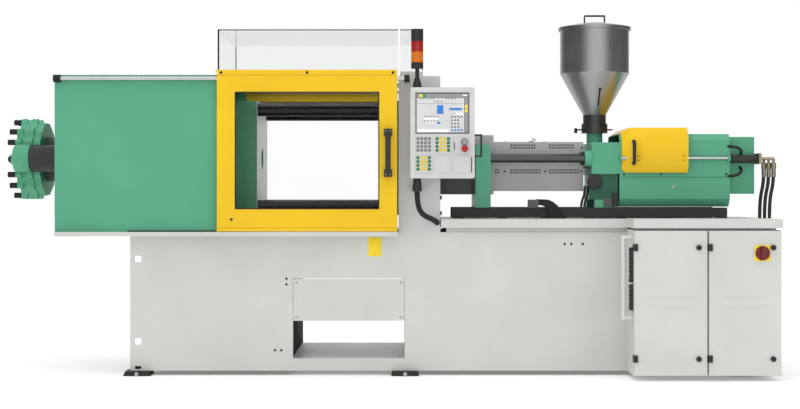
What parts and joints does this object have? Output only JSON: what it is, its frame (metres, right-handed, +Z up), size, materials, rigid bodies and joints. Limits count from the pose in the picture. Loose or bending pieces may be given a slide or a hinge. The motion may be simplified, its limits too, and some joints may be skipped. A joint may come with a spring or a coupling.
{
  "type": "injection moulding machine",
  "caption": "Horizontal plastics press with a sliding guard over its clamp, a hopper-fed screw unit on rails, an operator panel and a control cabinet.",
  "frame": {"origin": "middle of the machine's footprint, at floor level", "axes": "+X from the clamp cylinder towards the injection unit, +Y away from the operator, +Z up"},
  "size_m": [4.361, 1.316, 2.027],
  "materials": {
    "amber_lens": "translucent amber lens",
    "black_plastic": "moulded black plastic",
    "black_rubber": "smooth black hose cover",
    "black_steel": "blackened steel",
    "cast_rubber": "moulded levelling mount",
    "clear_sheet": "clear polycarbonate sheet",
    "dark_paint": "dark grey machine paint",
    "green_paint": "satin leaf-green powder coat",
    "grey_paint": "light grey powder coat with a fine orange peel",
    "guard_grey_paint": "mid-grey sheet guard, powder coated",
    "hard_chrome": "hard chromed and polished rod",
    "key_metal": "plated key barrel with a blue ring",
    "off_white_paint": "off-white powder coat",
    "panel_plastic": "light grey moulded case",
    "platen_steel": "milled and ground platen steel",
    "rail_grey_paint": "pale warm grey paint",
    "red_lens": "translucent red lens",
    "red_plastic": "red moulded plastic",
    "screen_glass": "lit display behind a flat window",
    "stainless": "spun and brushed stainless sheet",
    "tool_steel": "turned alloy steel",
    "yellow_paint": "satin yellow powder coat"
  },
  "bodies": {
    "machine_frame": {"base_frame": "grey_paint", "chute_cover": "grey_paint", "levelling_feet": "cast_rubber", "bed_plate": "rail_grey_paint", "clamp_casing": "green_paint", "door_rods": "hard_chrome", "rod_fittings": "black_steel", "column_cover": "guard_grey_paint", "fixed_hood": "clear_sheet", "fixed_platen": "platen_steel", "end_platen": "dark_paint", "cylinder_head": "green_paint", "cylinder_bolts": "black_steel", "tie_bars": "black_steel", "panel_bracket": "black_plastic", "panel_conduit": "black_rubber", "cabinet_shell": "grey_paint", "cabinet_top": "off_white_paint", "door_hinges": "black_steel", "side_tray": "off_white_paint", "slide_rails": "black_steel", "guide_rods": "hard_chrome", "supply_hoses": "black_rubber"},
    "front_guard": {"guard_door": "yellow_paint", "guard_window": "clear_sheet", "guard_handle": "black_plastic", "guard_hood": "clear_sheet"},
    "rear_guard": {"rear_door": "yellow_paint", "rear_window": "clear_sheet"},
    "clamp_carriage": {"moving_platen": "platen_steel", "clamp_ram": "hard_chrome"},
    "ejector_set": {"ejector": "tool_steel"},
    "control_panel": {"panel_case": "panel_plastic", "panel_screen": "screen_glass", "panel_handle": "black_plastic", "signal_post": "black_plastic", "lamp_red": "red_lens", "lamp_amber": "amber_lens"},
    "emergency_stop": {"estop_button": "red_plastic"},
    "panel_key": {"key_switch": "key_metal"},
    "left_leaf": {"cabinet_door_left": "grey_paint"},
    "right_leaf": {"cabinet_door_right": "grey_paint"},
    "left_low_lock": {"lock_left_low": "black_plastic"},
    "left_high_lock": {"lock_left_high": "black_plastic"},
    "right_low_lock": {"lock_right_low": "black_plastic"},
    "right_high_lock": {"lock_right_high": "black_plastic"},
    "power_switch": {"main_switch": "red_plastic"},
    "injection_carriage": {"carriage_castings": "green_paint", "barrel": "tool_steel", "nozzle_guard": "guard_grey_paint", "heater_guard": "guard_grey_paint", "hopper": "stainless", "rear_housing": "green_paint", "shield_rods": "hard_chrome", "hydraulic_fittings": "black_steel"},
    "hopper_cover": {"hopper_lid": "stainless"},
    "feed_gate": {"hopper_gate": "stainless"},
    "drive_shield": {"sliding_shield": "yellow_paint"},
    "injection_drive": {"screw_drive": "dark_paint"},
    "plasticizing_screw": {"screw": "tool_steel"}
  },
  "joints": [
    {"name": "front_guard_slide", "type": "slide", "parent": "machine_frame", "child": "front_guard", "axis": [-1, 0, 0], "range_m": [0, 0.84]},
    {"name": "rear_guard_slide", "type": "slide", "parent": "machine_frame", "child": "rear_guard", "axis": [-1, 0, 0], "range_m": [0, 0.84]},
    {"name": "clamp_stroke", "type": "slide", "parent": "machine_frame", "child": "clamp_carriage", "axis": [1, 0, 0], "range_m": [0, 0.5]},
    {"name": "ejector_stroke", "type": "slide", "parent": "clamp_carriage", "child": "ejector_set", "axis": [1, 0, 0], "range_m": [0, 0.1]},
    {"name": "panel_swivel", "type": "hinge", "parent": "machine_frame", "child": "control_panel", "pos_m": [0.1755, -0.471, 1.079], "axis": [0, 0, 1], "range_deg": [-90, 10]},
    {"name": "stop_press", "type": "slide", "parent": "control_panel", "child": "emergency_stop", "axis": [0, 1, 0], "range_m": [0, 0.006], "stiffness_N_per_m": 800},
    {"name": "key_turn", "type": "hinge", "parent": "control_panel", "child": "panel_key", "pos_m": [0.4305, -0.506, 1.275], "axis": [0, 1, 0], "range_deg": [-45, 45]},
    {"name": "left_leaf_hinge", "type": "hinge", "parent": "machine_frame", "child": "left_leaf", "pos_m": [1.3355, -0.632, 0.119], "axis": [0, 0, 1], "range_deg": [-105, 0]},
    {"name": "right_leaf_hinge", "type": "hinge", "parent": "machine_frame", "child": "right_leaf", "pos_m": [1.732, -0.632, 0.119], "axis": [0, 0, 1], "range_deg": [-105, 0]},
    {"name": "left_low_lock_turn", "type": "hinge", "parent": "left_leaf", "child": "left_low_lock", "pos_m": [1.668, -0.626, 0.119], "axis": [0, 1, 0], "range_deg": [0, 90]},
    {"name": "left_high_lock_turn", "type": "hinge", "parent": "left_leaf", "child": "left_high_lock", "pos_m": [1.668, -0.626, 0.71], "axis": [0, 1, 0], "range_deg": [0, 90]},
    {"name": "right_low_lock_turn", "type": "hinge", "parent": "right_leaf", "child": "right_low_lock", "pos_m": [2.0625, -0.626, 0.119], "axis": [0, 1, 0], "range_deg": [0, 90]},
    {"name": "right_high_lock_turn", "type": "hinge", "parent": "right_leaf", "child": "right_high_lock", "pos_m": [2.0625, -0.626, 0.71], "axis": [0, 1, 0], "range_deg": [0, 90]},
    {"name": "power_switch_turn", "type": "hinge", "parent": "right_leaf", "child": "power_switch", "pos_m": [2.0045, -0.626, 0.681], "axis": [0, 1, 0], "range_deg": [0, 90]},
    {"name": "carriage_stroke", "type": "slide", "parent": "machine_frame", "child": "injection_carriage", "axis": [1, 0, 0], "range_m": [0, 0.2]},
    {"name": "hopper_cover_lift", "type": "slide", "parent": "injection_carriage", "child": "hopper_cover", "axis": [0, 0, 1], "range_m": [0, 0.15]},
    {"name": "feed_gate_pull", "type": "slide", "parent": "injection_carriage", "child": "feed_gate", "axis": [-1, 0, 0], "range_m": [0, 0.065]},
    {"name": "drive_shield_slide", "type": "slide", "parent": "injection_carriage", "child": "drive_shield", "axis": [1, 0, 0], "range_m": [0, 0.19]},
    {"name": "injection_stroke", "type": "slide", "parent": "injection_carriage", "child": "injection_drive", "axis": [1, 0, 0], "range_m": [0, 0.12]},
    {"name": "screw_turn", "type": "hinge", "parent": "injection_drive", "child": "plasticizing_screw", "pos_m": [1.4825, 0.094, 1.195], "axis": [1, 0, 0], "continuous": true}
  ]
}
